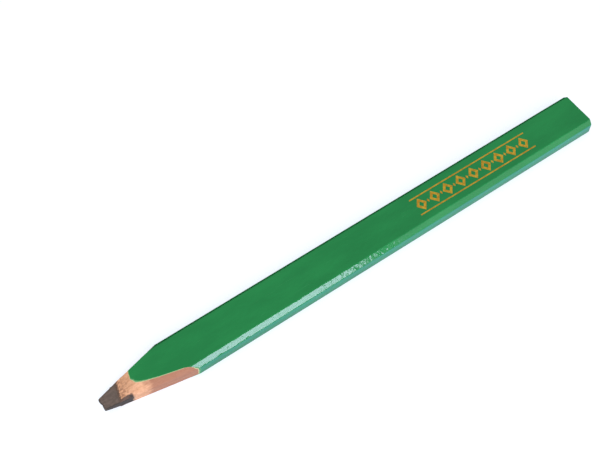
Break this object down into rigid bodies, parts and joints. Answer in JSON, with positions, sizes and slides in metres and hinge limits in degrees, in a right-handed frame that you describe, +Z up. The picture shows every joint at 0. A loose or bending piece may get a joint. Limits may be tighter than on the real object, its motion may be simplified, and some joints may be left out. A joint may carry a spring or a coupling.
{
  "type": "carpenter pencil",
  "caption": "Flat octagonal wooden pencil with a wide graphite strip, green gloss lacquer, a gold foil border and a knife-cut chisel point.",
  "frame": {"origin": "bottom centre of the bounding box, on the lower broad face's plane", "axes": "+X along the pencil from the writing tip to the butt, +Y across to the back, +Z up through the thin side"},
  "size_m": [0.1762, 0.0132, 0.0069],
  "materials": {
    "graphite": "dull grey-black graphite and clay with a faint metallic sheen",
    "glue": "thin dried amber wood glue",
    "wood": "bare straight-grained softwood, pinkish, knife cut",
    "primer": "pale undercoat",
    "lacquer": "green gloss paint",
    "gold_foil": "hot-stamped gold foil, lightly worn"
  },
  "bodies": {
    "root": {"graphite_core": "graphite", "core_bond": "glue", "lower_slat": "wood", "upper_slat": "wood", "seam_glue_front": "glue", "seam_glue_back": "glue", "primer_coat": "primer", "lacquer_coat": "lacquer", "foil_stamp": "gold_foil"}
  },
  "joints": []
}
